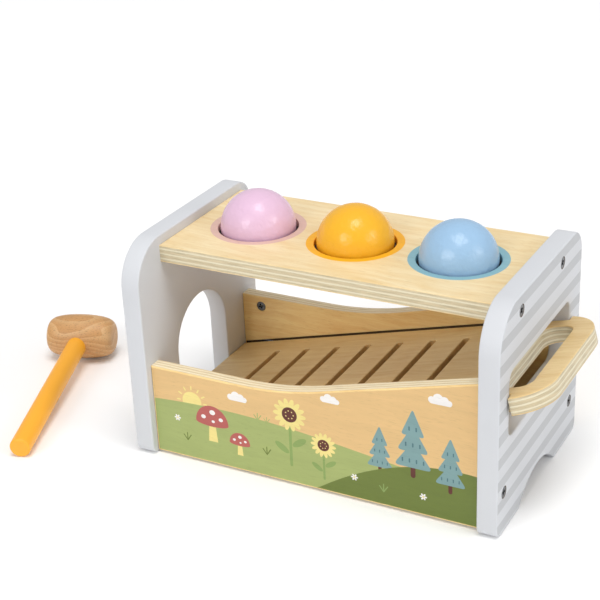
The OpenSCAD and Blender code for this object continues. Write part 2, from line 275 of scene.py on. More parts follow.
def grey_stripes(tree, base):
    """Stripes printed on the right panel's outer face alone, level, with crisp edges."""
    sizes, colours = look()
    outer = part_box("right_panel")[1].x
    place = add(tree, "ShaderNodeSeparateXYZ", [add(tree, "ShaderNodeTexCoord").outputs["Object"]])
    lifted = add(tree, MATHS, [place.outputs[2], sizes.stripe_start], operation="SUBTRACT")
    step = add(tree, MATHS, [lifted, sizes.stripe_pitch], operation="DIVIDE")
    part = add(tree, MATHS, [step], operation="FRACT")
    stripe = add(tree, MATHS, [part, STRIPE_SHARE], operation="LESS_THAN")
    face = add(tree, MATHS, [place.outputs[0], outer - PRINT_DEPTH], operation="GREATER_THAN")
    mask = add(tree, MATHS, [stripe, face], operation="MULTIPLY")
    return add(tree, "ShaderNodeMix", {0: mask, 6: base, 7: list(colours.stripe)}, data_type="RGBA")


def veneer_tone(tree, place, face, figure):
    """Rotary-cut birch face: long faint streaks that wander, fine fibres and short brown flecks."""
    drift = mottle(tree, place, DRIFT, 1).outputs["Color"]
    bent = add(tree, VECTORS, [drift, DRIFT_ASIDE, place], operation="MULTIPLY_ADD")
    streak = mottle(tree, bent, STREAK, 4, 0.55)
    fibre = mottle(tree, place, FIBRE, 2)
    cloudy = mottle(tree, place, CLOUDY, 2, 0.5, 1.2)
    mixed = add(tree, MATHS, [fibre, 0.35, streak], operation="MULTIPLY_ADD")
    mixed = add(tree, MATHS, [cloudy, 0.55, mixed], operation="MULTIPLY_ADD")
    tone = blend(tree, mixed, face, figure, 0.72, 1.3)
    fleck = mottle(tree, bent, BIRCH_FLECK, 1)
    return blend(tree, fleck, tone, shade(figure, 0.8), 0.6, 1.0), fibre


def ply_edge(tree, place, thickness, paleness):
    """Colour of the plies, pale ones between tan ones that show end grain, and 1 where a face ply lies."""
    colours = look()[1]
    wave = mottle(tree, place, PLY_DRIFT, 1)
    depth = add(tree, "ShaderNodeSeparateXYZ", [place]).outputs[2]
    depth = add(tree, MATHS, [wave, PLY_WAVE, depth], operation="MULTIPLY_ADD")
    per_mm = PLIES * MM / thickness
    step = add(tree, MATHS, [depth, per_mm, -PLY_WAVE / 2 * per_mm], operation="MULTIPLY_ADD")
    aside = add(tree, MATHS, [step], operation="ABSOLUTE")
    outer = add(tree, MATHS, [aside, PLIES / 2 - FACE_PLY], operation="GREATER_THAN")
    ridge = add(tree, MATHS, [step, 1.0], operation="PINGPONG")
    pores = mottle(tree, place, PORE, 3, 0.7)
    spread = add(tree, MATHS, [pores, -0.5, ridge], operation="MULTIPLY_ADD")
    lines = mottle(tree, place, CROSS_PLY_LINE, 2)
    light, dark = [shade(colours.core_cross, share * paleness) for share in (1.06, 0.7)]
    tan = blend(tree, lines, light, dark, 0.42, 0.68)
    return blend(tree, spread, shade(colours.core, paleness), tan, -0.1, 0.2), outer


def plywood(name, face, figure, thickness, turn, centre, paleness=1.0):
    """Birch plywood, plies glued crosswise, sanded and sprayed with clear satin lacquer: striped edges."""
    made, tree = start_material(name)
    place = place_in_mm(tree, turn, centre)
    tone, fibre = veneer_tone(tree, place, list(face), list(figure))
    inner, outer = ply_edge(tree, place, thickness, paleness)
    whole = add(tree, "ShaderNodeMix", {0: outer, 6: inner, 7: tone}, data_type="RGBA")
    return coat(made, whole, SATIN, fibre, 0.02)


def solid_wood(name, face, figure, roughness=0.6):
    """Plain wood, cut and left bare: straight streaks, hardly any shine."""
    made, tree = start_material(name)
    tone, fibre = veneer_tone(tree, place_in_mm(tree), list(face), list(figure))
    return coat(made, tone, {"Roughness": roughness}, fibre, 0.05)


def screen_ink(name, ink, turn, centre):
    """Opaque screen-print ink on veneer, under satin lacquer: flat colour with the grain faintly showing."""
    made, tree = start_material(name)
    tone, fibre = veneer_tone(tree, place_in_mm(tree, turn, centre), shade(ink, 1.03), shade(ink, 0.93))
    return coat(made, tone, SATIN, fibre, 0.02)


def turned_beech(name, centre, turn):
    """Steamed beech, lathe-turned, sanded and oiled: wide pale growth lines on tan, short dark ray flecks."""
    colours = look()[1]
    made, tree = start_material(name)
    place = place_in_mm(tree, turn, centre)
    axes = add(tree, "ShaderNodeSeparateXYZ", [place])
    wander = mottle(tree, place, BEECH_DRIFT, 0)
    flat = add(tree, "ShaderNodeCombineXYZ", {1: axes.outputs[1], 2: axes.outputs[2]})
    flat = add(tree, VECTORS, [flat, HEART], operation="SUBTRACT")
    away = add(tree, VECTORS, [flat], operation="LENGTH").outputs["Value"]
    rings = add(tree, MATHS, [wander, GROWTH_WANDER, away], operation="MULTIPLY_ADD")
    rings = add(tree, MATHS, [rings, GROWTH_STEP], operation="DIVIDE")
    part = add(tree, MATHS, [rings], operation="FRACT")
    line = add(tree, MATHS, [part, 2.2], operation="POWER")
    fleck = mottle(tree, place, RAY_FLECK, 2, 0.6)
    cloudy = mottle(tree, place, BEECH_CLOUD, 3)
    base = blend(tree, cloudy, shade(colours.beech, 1.08), shade(colours.beech, 0.88), 0.3, 0.7)
    lined = blend(tree, line, base, list(colours.beech_line), 0.0, 1.9)
    flecked = blend(tree, fleck, lined, shade(colours.beech, 0.5), 0.54, 0.8)
    return coat(made, flecked, {"Roughness": 0.44, "Specular IOR Level": 0.4}, fleck, 0.03)


def zinc_steel(name):
    """Zinc plated steel, cold headed: dull bright metal with small scuffs."""
    colours = look()[1]
    made, tree = start_material(name)
    scuff = mottle(tree, place_in_mm(tree), SCUFF, 3, 0.7)
    tone = blend(tree, scuff, list(colours.steel), shade(colours.steel, 0.62), 0.4, 0.75)
    return coat(made, tone, {"Metallic": 1.0, "Roughness": 0.36}, scuff, 0.02)


def moulded_rubber(name):
    """Black moulded rubber, matt with a dusty bloom."""
    colours = look()[1]
    made, tree = start_material(name)
    bloom = mottle(tree, place_in_mm(tree), BLOOM, 3)
    tone = blend(tree, bloom, list(colours.rubber), shade(colours.rubber, 1.7), 0.4, 0.8)
    return coat(made, tone, {"Roughness": 0.62}, bloom, 0.05)


# Slabs cut from the frame's own outlines, in millimetres

ROUND_STEPS = 4
SHARP = math.radians(35)
# A rim: material's number, first row of the wall that it covers, and row after its last
BARE = (0, 0, 0)
# The two rims below give the second material: painted shade in the rails' grooves and on the slots' walls, and
# dark bare fibreboard in the panels' screw holes
HOLLOW = (1, 0, ROUND_STEPS)
SLOT_SHADE_ROWS = (1, ROUND_STEPS, ROUND_STEPS + 3)
# Hole outlines whose width plus height is less than these are screw holes, and slots
SCREW_SPAN = 30
SLOT_SPAN = 70
# Height of a screw's countersunk head, and depth of the pits for the barrel nuts
HEAD_HEIGHT = 2.4
NUT_PIT = 8.05
# A rail's groove: its depth, how far it goes above and below the board's face, and short of the rail's ends
GROOVE_DEEP = 3.0
GROOVE_ABOVE = 0.5
GROOVE_BELOW = 3.5
GROOVE_CLEAR = 0.6
# How far inside the rail's rounded edge the picture ends, and its first ink's material
PRINT_CLEAR = 0.02
FIRST_INK = 2
# Rounding of the dowel's end, and of the grip rings
DOWEL_ROUND = 1.2
GRIP_ROUND = 0.7 * MM
# Length of the unevenness that turning leaves
BALL_GRAIN = 9 * MM
HEAD_GRAIN = 13 * MM


class Plane:
    """A flat face of a piece: two axes in it, millimetres, and the normal that it faces."""

    def __init__(self, node, right, up):
        self.right, self.up = Vector(right).normalized(), Vector(up).normalized()
        self.normal = self.right.cross(self.up)
        self.node = node
        corners = frame["nodes"][node].data.vertices
        depths = [v.co.dot(self.normal) for v in corners]
        self.reach, self.thickness = max(depths), max(depths) - min(depths)

    def point(self, flat, depth):
        """Place in the frame of a point on the face, depth millimetres below it."""
        return (self.right * flat.x + self.up * flat.y - self.normal * depth) * MM + self.normal * self.reach

    def loops(self, facing=1):
        """Border loops of the face, or with facing -1 of the one behind it, with the solid on their left."""
        mesh = frame["nodes"][self.node].data
        level = self.reach if facing > 0 else self.reach - self.thickness
        near = [abs(v.co.dot(self.normal) - level) < 0.01 * MM for v in mesh.vertices]
        edges = set()
        for polygon in mesh.polygons:
            if all(near[i] for i in polygon.vertices):
                ring = [tuple(mesh.vertices[i].co) for i in polygon.vertices]
                edges.update(zip(ring, ring[1:] + ring[:1]))
        follow = {a: b for a, b in edges if (b, a) not in edges}
        found = []
        while follow:
            first, here = next(iter(sorted(follow.items())))
            loop = [first]
            while here != first:
                loop.append(here)
                here = follow.pop(here)
            follow.pop(first)
            loop = [Vector((Vector(p).dot(self.right), Vector(p).dot(self.up))) / MM for p in loop]
            found.append(loop if facing > 0 else loop[::-1])
        return sorted(found, key=span, reverse=True)


def span(loop):
    """Width of a loop's box, plus its height."""
    return sum(max(p[i] for p in loop) - min(p[i] for p in loop) for i in (0, 1))


def middle(loop):
    """Middle of a loop's box."""
    return Vector([(max(p[i] for p in loop) + min(p[i] for p in loop)) / 2 for i in (0, 1)])


def inset(loop, by):
    """The loop moved sideways, into the solid on its left, with its corners kept sharp."""
    moved = []
    for i, point in enumerate(loop):
        before = (point - loop[i - 1]).normalized()
        after = (loop[(i + 1) % len(loop)] - point).normalized()
        side = Vector((-before.y - after.y, before.x + after.x))
        moved.append(point + side * (by / (1 + before.dot(after))))
    return moved


def rounded_edge(radius, rim, steps):
    """Start of a wall's profile, as how far each ring lies in the solid and how deep, in millimetres."""
    turns = [math.pi / 2 * i / steps for i in range(steps + 1)]
    return [(radius + rim, 0)] + [(radius * (1 - math.sin(t)), radius * (1 - math.cos(t))) for t in turns]


def rounded_wall(plane, rounding):
    """Profile of a wall with both edges rounded, each beside a flat rim."""
    thickness = plane.thickness / MM
    edge = rounded_edge(rounding / MM, look()[0].flat_rim / MM, ROUND_STEPS)
    return edge + [(aside, thickness - deep) for aside, deep in reversed(edge)]


def screw_wall(loop, plane):
    """Countersunk hole for a screw: wide at the face, half as wide behind the head."""
    narrow = -span(loop) / 8
    return loop, [(0, 0), (narrow, HEAD_HEIGHT), (narrow, plane.thickness / MM)], None, HOLLOW


def pit(loop, plane, depth, facing, rim):
    """Hollow of this depth in the plane's own face, or with facing -1 in the face behind it."""
    thickness = plane.thickness / MM
    if facing > 0:
        return loop, [(0, 0), (0, depth)], "near", rim
    return loop, [(0, thickness - depth), (0, thickness)], "far", rim


def inside(points, loop):
    """Which of the points lie inside the loop."""
    x, y = points[:, 0], points[:, 1]
    odd = np.zeros(len(points), bool)
    ring = np.array([tuple(p) for p in loop])
    for (x0, y0), (x1, y1) in zip(ring, np.roll(ring, -1, axis=0)):
        if y0 != y1:
            crosses = (y0 > y) != (y1 > y)
            odd ^= crosses & (x < (x1 - x0) * (y - y0) / (y1 - y0) + x0)
    return odd


def fill_cap(rings, shapes):
    """Triangles between the rings, with the number from 1 of the last shape that each lies in, or 0."""
    points, edges = [], []
    for loop in rings + [shape for _, shape in shapes]:
        first = len(points)
        points += [Vector(p) for p in loop]
        edges += [(first + i, first + (i + 1) % len(loop)) for i in range(len(loop))]
    known = sum(len(ring) for ring in rings)
    spots, _, faces, origins, _, _ = delaunay_2d_cdt(points, edges, [], 0, 1e-5)
    spots = np.array([tuple(p) for p in spots])
    centres = np.array([spots[list(face)].mean(axis=0) for face in faces])
    solid = np.zeros(len(faces), bool)
    for ring in rings:
        solid ^= inside(centres, ring)
    worn = np.zeros(len(faces), int)
    for number, (_, shape) in enumerate(shapes, 1):
        worn[inside(centres, shape)] = number
    source = [min((i for i in origin if i < known), default=None) for origin in origins]
    kept = [(face, worn[i]) for i, face in enumerate(faces) if solid[i]]
    return spots, source, kept


class Shell:
    """Corners and faces of a slab, each face with the number of the material that it wears."""

    def __init__(self, plane):
        self.plane = plane
        self.corners, self.faces, self.worn = [], [], []

    def face(self, ring, material):
        """Adds one face."""
        self.faces.append(tuple(ring))
        self.worn.append(material)

    def wall(self, loop, profile, rim):
        """Adds the bands of a wall, and gives its rings as (number of the first corner, outline)."""
        rings = []
        for aside, deep in profile:
            flat = inset(loop, aside)
            rings.append((len(self.corners), flat))
            self.corners += [self.plane.point(p, deep) for p in flat]
        material, start, end = rim
        for row, ((upper, _), (lower, _)) in enumerate(zip(rings, rings[1:])):
            for i in range(len(loop)):
                j = (i + 1) % len(loop)
                ring = (upper + i, lower + i, lower + j, upper + j)
                self.face(ring, material if start <= row < end else 0)
        return rings

    def cap(self, rings, depth, shapes, turned):
        """Fills the face between the rings, cut along the printed shapes. The far face is turned over."""
        spots, source, kept = fill_cap([flat for _, flat in rings], shapes)
        index = [first + i for first, flat in rings for i in range(len(flat))]
        numbers = []
        for spot, origin in zip(spots, source):
            if origin is None:
                numbers.append(len(self.corners))
                self.corners.append(self.plane.point(Vector(spot), depth))
            else:
                numbers.append(index[origin])
        for face, shape in kept:
            ring = [numbers[i] for i in face]
            self.face(reversed(ring) if turned else ring, shapes[shape - 1][0] if shape else 0)


def slab(name, plane, walls, materials, shapes=()):
    """A slab between a plane's two faces.

    Each wall is (loop, profile, closed, rim), with closed "near" or "far" for a pit.
    shapes are (material's number, outline) printed on the near face, the later over the earlier.
    """
    shell = Shell(plane)
    near, far = [], []
    for loop, profile, closed, rim in walls:
        rings = shell.wall(loop, profile, rim)
        if closed == "near":
            shell.face(range(rings[-1][0] + len(loop) - 1, rings[-1][0] - 1, -1), rim[0])
        else:
            far.append(rings[-1])
        if closed == "far":
            shell.face(range(rings[0][0], rings[0][0] + len(loop)), rim[0])
        else:
            near.append(rings[0])
    shell.cap(near, 0, list(shapes), False)
    shell.cap(far, plane.thickness / MM, [], True)
    mesh = bpy.data.meshes.new(name)
    mesh.from_pydata(shell.corners, [], shell.faces)
    for material in materials:
        mesh.materials.append(material)
    mesh.polygons.foreach_set("material_index", shell.worn)
    mesh.shade_smooth()
    mesh.set_sharp_from_angle(angle=SHARP)
    mesh.validate()
    return bpy.data.objects.new(name, mesh)


def hand_in(piece, *nodes):
    """Puts a finished piece in the scene, in place of the nodes that it stands for."""
    if piece.name not in bpy.context.scene.collection.objects:
        bpy.context.scene.collection.objects.link(piece)
    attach(piece, BODY_OF[nodes[0]])
    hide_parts(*nodes)


# Geometry Nodes


def node_tree(name, sockets):
    """A Geometry Nodes tree with its group nodes and the identifiers of its named inputs."""
    tree = bpy.data.node_groups.new(name, "GeometryNodeTree")
    tree.interface.new_socket("Geometry", in_out="INPUT", socket_type="NodeSocketGeometry")
    tree.interface.new_socket("Geometry", in_out="OUTPUT", socket_type="NodeSocketGeometry")
    names = {}
    for label, kind in sockets.items():
        socket = tree.interface.new_socket(label, in_out="INPUT", socket_type="NodeSocket" + kind)
        names[label] = socket.identifier
    return tree, add(tree, "NodeGroupInput").outputs, names


def close_tree(tree, shape, material):
    """Ends the tree in real geometry with its material."""
    smooth = add(tree, "GeometryNodeSetShadeSmooth", {"Geometry": shape})
    real = add(tree, "GeometryNodeRealizeInstances", {"Geometry": smooth})
    painted = add(tree, "GeometryNodeSetMaterial", {"Geometry": real, "Material": material})
    add(tree, "NodeGroupOutput", [painted])


def run_tree(name, tree, names, values, seed_mesh=None):
    """The tree's result with these input values, as a plain object."""
    holder = bpy.data.objects.new(name, seed_mesh or bpy.data.meshes.new(name + "_seed"))
    bpy.context.scene.collection.objects.link(holder)
    modifier = holder.modifiers.new(name, "NODES")
    modifier.node_group = tree
    for label, value in values.items():
        modifier[names[label]] = value
    graph = bpy.context.evaluated_depsgraph_get()
    mesh = bpy.data.meshes.new_from_object(holder.evaluated_get(graph), depsgraph=graph)
    bpy.data.objects.remove(holder)
    return bpy.data.objects.new(name, mesh)


def turned_tree():
    """A barrel turned on a lathe about Z, with flatter or rounder ends and a slight unevenness."""
    sockets = {
        "Length": "Float", "Diameter": "Float", "Flatness": "Float", "Unevenness": "Float", "Grain": "Float",
        "Place": "Vector", "Turn": "Rotation", "Material": "Material",
    }
    tree, given, names = node_tree("turned_body", sockets)
    ball = add(tree, "GeometryNodeMeshUVSphere", {"Segments": 96, "Rings": 64, "Radius": 1.0})
    start = add(tree, "GeometryNodeInputPosition")
    axes = add(tree, "ShaderNodeSeparateXYZ", [start])
    flat = add(tree, "ShaderNodeCombineXYZ", [axes.outputs[0], axes.outputs[1]])
    around = add(tree, VECTORS, [flat], operation="LENGTH").outputs["Value"]
    around = add(tree, MATHS, [around, 0.0001], operation="MAXIMUM")
    power = add(tree, MATHS, [2.0, given["Flatness"]], operation="DIVIDE")
    power = add(tree, MATHS, [power, 1.0], operation="SUBTRACT")
    swell = add(tree, MATHS, [around, power], operation="POWER")
    wide = add(tree, MATHS, [swell, given["Diameter"]], operation="MULTIPLY")
    scale = add(tree, "ShaderNodeCombineXYZ", [wide, wide, given["Length"]])
    scale = add(tree, VECTORS, {0: scale, "Scale": 0.5}, operation="SCALE")
    spot = add(tree, VECTORS, [start, scale], operation="MULTIPLY")
    shaped = add(tree, "GeometryNodeSetPosition", {"Geometry": ball, "Position": spot})
    grain = add(tree, VECTORS, [spot, given["Grain"]], operation="DIVIDE")
    rough = add(tree, "ShaderNodeTexNoise", {"Vector": grain, "Scale": 1.0, "Detail": 1.0})
    rough = add(tree, MATHS, [rough, 0.5], operation="SUBTRACT")
    rough = add(tree, MATHS, [rough, given["Unevenness"]], operation="MULTIPLY")
    push = add(tree, VECTORS, {0: add(tree, "GeometryNodeInputNormal"), "Scale": rough}, operation="SCALE")
    uneven = add(tree, "GeometryNodeSetPosition", {"Geometry": shaped, "Offset": push})
    where = {"Geometry": uneven, "Translation": given["Place"], "Rotation": given["Turn"]}
    close_tree(tree, add(tree, "GeometryNodeTransform", where), given["Material"])
    return tree, names


def grip_tree():
    """A rubber ring: a section with rounded corners, swept round a circle."""
    sockets = {
        "Inner": "Float", "Outer": "Float", "Height": "Float", "Rounding": "Float", "Place": "Vector",
        "Material": "Material",
    }
    tree, given, names = node_tree("grip_ring", sockets)
    both = add(tree, MATHS, [given["Inner"], given["Outer"]], operation="ADD")
    mean = add(tree, MATHS, [both, 0.5], operation="MULTIPLY")
    wide = add(tree, MATHS, [given["Outer"], given["Inner"]], operation="SUBTRACT")
    path = add(tree, "GeometryNodeCurvePrimitiveCircle", {"Resolution": 96, "Radius": mean})
    section = add(tree, "GeometryNodeCurvePrimitiveQuadrilateral", {"Width": wide, "Height": given["Height"]})
    soft = add(tree, "GeometryNodeFilletCurve", {"Curve": section, "Radius": given["Rounding"]}, mode="POLY")
    soft.inputs["Count"].default_value = 5
    swept = add(tree, "GeometryNodeCurveToMesh", {"Curve": path, "Profile Curve": soft})
    placed = add(tree, "GeometryNodeTransform", {"Geometry": swept, "Translation": given["Place"]})
    close_tree(tree, placed, given["Material"])
    return tree, names


def fastener_tree():
    """Sets a fastener on each point, all facing one way, each with its cross turned by chance."""
    sockets = {"Fastener": "Object", "Facing": "Rotation", "Seed": "Int", "Material": "Material"}
    tree, given, names = node_tree("fasteners", sockets)
    pattern = add(tree, "GeometryNodeObjectInfo", {"Object": given["Fastener"]})
    chance = {2: 0.0, 3: math.pi / 2, 8: given["Seed"]}
    spin = add(tree, "FunctionNodeRandomValue", chance, data_type="FLOAT")
    spin = add(tree, "FunctionNodeAxisAngleToRotation", {"Axis": (0, 0, 1), "Angle": spin})
    turns = {"Rotation": given["Facing"], "Rotate By": spin}
    turned = add(tree, "FunctionNodeRotateRotation", turns, rotation_space="LOCAL")
    where = {"Points": given["Geometry"], "Instance": pattern.outputs["Geometry"], "Rotation": turned}
    close_tree(tree, add(tree, "GeometryNodeInstanceOnPoints", where), given["Material"])
    return tree, names


# Printed picture on the front rail, in millimetres from the rail's lower left corner


def arc(x, z, wide, high, start, end, count):
    """Points of a part of an oval, from one angle to the other."""
    return [Vector((x + wide * math.cos(t), z + high * math.sin(t))) for t in np.linspace(start, end, count)]


def oval(x, z, wide, high, turn=0.0, count=36):
    """Outline of an oval."""
    c, s = math.cos(turn), math.sin(turn)
    turns = np.linspace(0, 2 * math.pi, count, False)
    spots = [(wide / 2 * math.cos(t), high / 2 * math.sin(t)) for t in turns]
    return [Vector((x + c * a - s * b, z + s * a + c * b)) for a, b in spots]


def round_about(x, z, reach, count):
    """Places spread evenly round a circle, each as x, z and its angle."""
    for i in range(count):
        t = 2 * math.pi * i / count
        yield x + reach * math.cos(t), z + reach * math.sin(t), t


def soft_triangle(x, z, wide, high, round_share=0.16, count=8):
    """Outline of a triangle with rounded corners, standing on its base at x, z."""
    corners = [Vector((x - wide / 2, z)), Vector((x + wide / 2, z)), Vector((x, z + high))]
    cut = wide * round_share
    spots = []
    for i, corner in enumerate(corners):
        start = corner + (corners[i - 1] - corner).normalized() * cut
        end = corner + (corners[(i + 1) % 3] - corner).normalized() * cut
        for t in np.linspace(0, 1, count):
            spots.append(start * (1 - t) ** 2 + corner * (2 * t * (1 - t)) + end * t**2)
    return spots


def stroke(start, end, wide, count=5):
    """Outline of a line with round ends."""
    start, end = Vector(start), Vector(end)
    angle = math.atan2(end.y - start.y, end.x - start.x)
    spots = []
    for tip, first in ((end, angle - math.pi / 2), (start, angle + math.pi / 2)):
        spots += arc(tip.x, tip.y, wide / 2, wide / 2, first, first + math.pi, count)
    return spots


def cloud(x, z, size):
    """A cloud of four puffs on a flat base."""
    puffs = [(-0.34, 0.02, 0.30), (-0.08, 0.12, 0.42), (0.18, 0.07, 0.36), (0.38, 0.0, 0.24)]
    shapes = [("cloud", oval(x + a * size, z + b * size, r * size, r * size)) for a, b, r in puffs]
    base = stroke((x - 0.36 * size, z - 0.06 * size), (x + 0.4 * size, z - 0.06 * size), 0.16 * size)
    return shapes + [("cloud", base)]


def toadstool(x, z, high):
    """A toadstool with a domed cap, white dots and a pale stem."""
    cap_z = z + high * 0.52
    cap = arc(x, cap_z, high * 0.46, high * 0.48, 0, math.pi, 24)
    lip = arc(x, cap_z, high * 0.46, high * 0.1, math.pi, 2 * math.pi, 14)[1:-1]
    stem = [(-0.13, 0), (0.13, 0), (0.09, 0.5), (-0.09, 0.5)]
    stem = [Vector((x + high * a, z + high * b)) for a, b in stem]
    dots = [(-0.24, 0.66, 0.13), (0.02, 0.82, 0.16), (0.25, 0.66, 0.12), (0.03, 0.57, 0.09)]
    dots = [oval(x + a * high, z + b * high, r * high, r * high * 0.85) for a, b, r in dots]
    return [("petal", stem), ("cap_red", cap + lip)] + [("cloud", dot) for dot in dots]


def fir(x, z, high):
    """A fir of three tiers with short dark marks."""
    shapes = [("seed", stroke((x, z), (x, z + high * 0.2), high * 0.07))]
    for tier, share in enumerate((0.56, 0.46, 0.34)):
        shapes.append(("fir", soft_triangle(x, z + high * (0.12 + 0.24 * tier), high * share, high * 0.4)))
    for row, marks in enumerate((4, 3, 2)):
        for i in range(marks):
            a = x + (i - (marks - 1) / 2) * high * 0.1
            b = z + high * (0.2 + 0.24 * row)
            shapes.append(("fir_mark", stroke((a, b), (a, b + high * 0.045), high * 0.022)))
    return shapes


def sunflower(x, z, high, size):
    """A sunflower on a stem with two leaves."""
    top = z + high
    shapes = [("leaf", stroke((x, z), (x, top), size * 0.09))]
    for side in (-1, 1):
        leaf_z = z + high * (0.4 + 0.08 * side)
        shapes.append(("leaf", oval(x + side * size * 0.27, leaf_z, size * 0.5, size * 0.2, side * 0.6)))
    petals = [oval(a, b, size * 0.34, size * 0.15, t) for a, b, t in round_about(x, top, size * 0.33, 14)]
    dots = [oval(a, b, size * 0.04, size * 0.04, 0, 10) for a, b, _ in round_about(x, top, size * 0.12, 7)]
    shapes += [("petal", petal) for petal in petals]
    return shapes + [("seed", oval(x, top, size * 0.46, size * 0.46))] + [("petal", dot) for dot in dots]


def sun(x, z, size):
    """A plain sun with short rays."""
    starts = round_about(x, z, size * 0.62, 12)
    ends = round_about(x, z, size * 0.76, 12)
    rays = [("petal", stroke(start[:2], end[:2], size * 0.07)) for start, end in zip(starts, ends)]
    return [("petal", oval(x, z, size, size))] + rays


def tuft(ink, x, z, size):
    """Three blades of grass."""
    tips = [(x + lean * size, z + rise * size) for lean, rise in ((-0.5, 0.7), (0, 1), (0.5, 0.75))]
    return [(ink, stroke((x, z), tip, size * 0.14)) for tip in tips]


def daisy(x, z, size):
    """A small white flower."""
    petals = [oval(a, b, size * 0.4, size * 0.24, t, 14) for a, b, t in round_about(x, z, size * 0.3, 6)]
    return [("cloud", petal) for petal in petals] + [("petal", oval(x, z, size * 0.26, size * 0.26, 0, 14))]


def hill(ink, wide, margin, height, steps=70):
    """Ground below a curve, clear of the rail's edges."""
    ground = [Vector((x, max(margin, height(x)))) for x in np.linspace(margin, wide - margin, steps)]
    return (ink, [Vector((margin, margin)), Vector((wide - margin, margin))] + ground[::-1])


def landscape(wide, margin):
    """Two hills with a sun, toadstools, sunflowers, firs, clouds and grass."""
    def light(x):
        return 30 + 8 * math.cos((x - 46) / 62)

    def dark(x):
        return 33 - 0.0042 * (x - 196) ** 2

    shapes = sun(27, 39, 13)
    shapes += cloud(58, 48, 13) + cloud(118, 60, 12) + cloud(184, 74, 14)
    shapes += tuft("hill_light", 71, light(71) - 0.6, 4.5) + tuft("hill_light", 77, light(77) - 0.8, 3.6)
    shapes.append(hill("hill_light", wide, margin, light))
    shapes += fir(148, 21, 30)
    shapes.append(hill("hill_dark", wide, margin, dark))
    shapes += fir(168, 24, 42) + fir(190, 19, 34)
    shapes += toadstool(40, 15, 24) + toadstool(58, 10, 15)
    shapes += sunflower(92, 12, 33, 21) + sunflower(113, 8, 22, 16)
    shapes += tuft("hill_dark", 22, 12, 5) + tuft("hill_dark", 76, 15, 5) + tuft("leaf", 150, 9, 5)
    shapes += daisy(16, 26, 4.5) + daisy(132, 14, 4.5) + daisy(174, 12, 4.5)
    return shapes


def printed_picture(outline, low, high, turn):
    """The inks of the picture, and its shapes, each with its material's number from FIRST_INK."""
    sizes, colours = look()
    centre, corner = (low + high) / 2, Vector((low.x, low.z)) / MM
    margin = (sizes.rail_round + sizes.flat_rim) / MM + PRINT_CLEAR
    picture = landscape((high.x - low.x) / MM, margin)
    names = ["sky"] + sorted({ink for ink, _ in picture})
    inks = [screen_ink("print_ink_" + name, getattr(colours, name), turn, centre) for name in names]
    shapes = [(FIRST_INK, inset(outline, margin))]
    for ink, shape in picture:
        shapes.append((FIRST_INK + names.index(ink), [p + corner for p in shape]))
    return inks, shapes


# Pieces and patterns that the operators use


def ramp_axis():
    """Direction in which the ramp board pulls out."""
    return Vector(next(joint["axis"] for joint in frame["joints"] if joint["name"] == "ramp_pull"))


def shadow_groove(start, end):
    """Outline of the groove in a rail beside the ramp board, which keeps the board from rubbing."""
    board = Plane("ramp_board", ramp_axis(), (0, 1, 0))
    rise = board.right.z / board.right.x
    level = board.reach / MM / board.normal.z
    ends = [start + GROOVE_CLEAR, end - GROOVE_CLEAR]
    upper = [Vector((x, level + x * rise + GROOVE_ABOVE)) for x in ends]
    lower = [Vector((x, level + x * rise - GROOVE_BELOW)) for x in reversed(ends)]
    return upper + lower


class Upright:
    """A plane at the origin that faces +Z, for a pattern piece whose thickness is given in millimetres."""

    def __init__(self, thickness):
        self.thickness = thickness * MM

    def point(self, flat, depth):
        """Place of a point on the face, depth millimetres below it."""
        return Vector((flat.x, flat.y, -depth)) * MM


def cross_outline(size, bar):
    """Cross-shaped outline, clockwise, so that the solid lies on its left."""
    a, b = size / 2, bar / 2
    arm = [(a, b), (a, -b), (b, -b)]
    turns = [Matrix.Rotation(-i * math.pi / 2, 2) for i in range(4)]
    return [turn @ Vector(p) for turn in turns for p in arm]


def crossed_pattern(name, radius, long, body, cross_share, bar_share, level):
    """A turned fastener that points down, its face at the origin, with a cross recess from level down."""
    recess = [(-0.05, level), (0, level + 0.12), (-0.12, look()[0].recess_depth / MM)]
    walls = [
        (oval(0, 0, 2 * radius, 2 * radius, 0, 40), body, None, BARE),
        (cross_outline(radius * cross_share, radius * bar_share), recess, "near", BARE),
    ]
    return slab(name + "_pattern", Upright(long), walls, [])


def screw_pattern(name, head, long):
    """A countersunk screw, its head slightly domed and its shank half as wide, with a point."""
    shank = head / 2
    top = [(0.6, 0.12), (0.35, 0.16), (0.22, 0.4), (head - shank, HEAD_HEIGHT)]
    point = [(head - shank, long - 2 * shank), (head * 0.8, long)]
    return crossed_pattern(name, head, long, top + point, 1.1, 0.36, 0.12)


def nut_pattern(name, radius, long):
    """A barrel nut's end."""
    body = [(0.6, 0), (0.25, 0.08), (0.0, 0.4), (0, long - 0.4), (0.4, long)]
    return crossed_pattern(name, radius, long, body, 1.15, 0.38, 0)


def set_fasteners(name, kit, pattern, spots, facing, seed, material):
    """One object with the pattern at each spot. kit is the tree and its inputs' names."""
    bpy.context.scene.collection.objects.link(pattern)
    points = bpy.data.meshes.new(name + "_places")
    points.from_pydata(spots, [], [])
    values = {"Fastener": pattern, "Facing": facing, "Seed": seed, "Material": material}
    made = run_tree(name, *kit, values, points)
    bpy.data.objects.remove(pattern)
    made.data.set_sharp_from_angle(angle=SHARP)
    return made


def joined(pieces):
    """The pieces as one object."""
    for piece in pieces:
        bpy.context.scene.collection.objects.link(piece)
    with bpy.context.temp_override(active_object=pieces[0], selected_editable_objects=pieces):
        bpy.ops.object.join()
    return pieces[0]


def end_points(mesh):
    """The two ends of a long thin mesh's axis."""
    points = np.array([tuple(v.co) for v in mesh.vertices])
    centre = points.mean(axis=0)
    axis = np.linalg.svd(points - centre, full_matrices=False)[2][0]
    shares = (points - centre) @ axis
    rings = [points[abs(shares - s) < 0.5 * MM] for s in (shares.min(), shares.max())]
    return [Vector((ring.min(axis=0) + ring.max(axis=0)) / 2) for ring in rings]


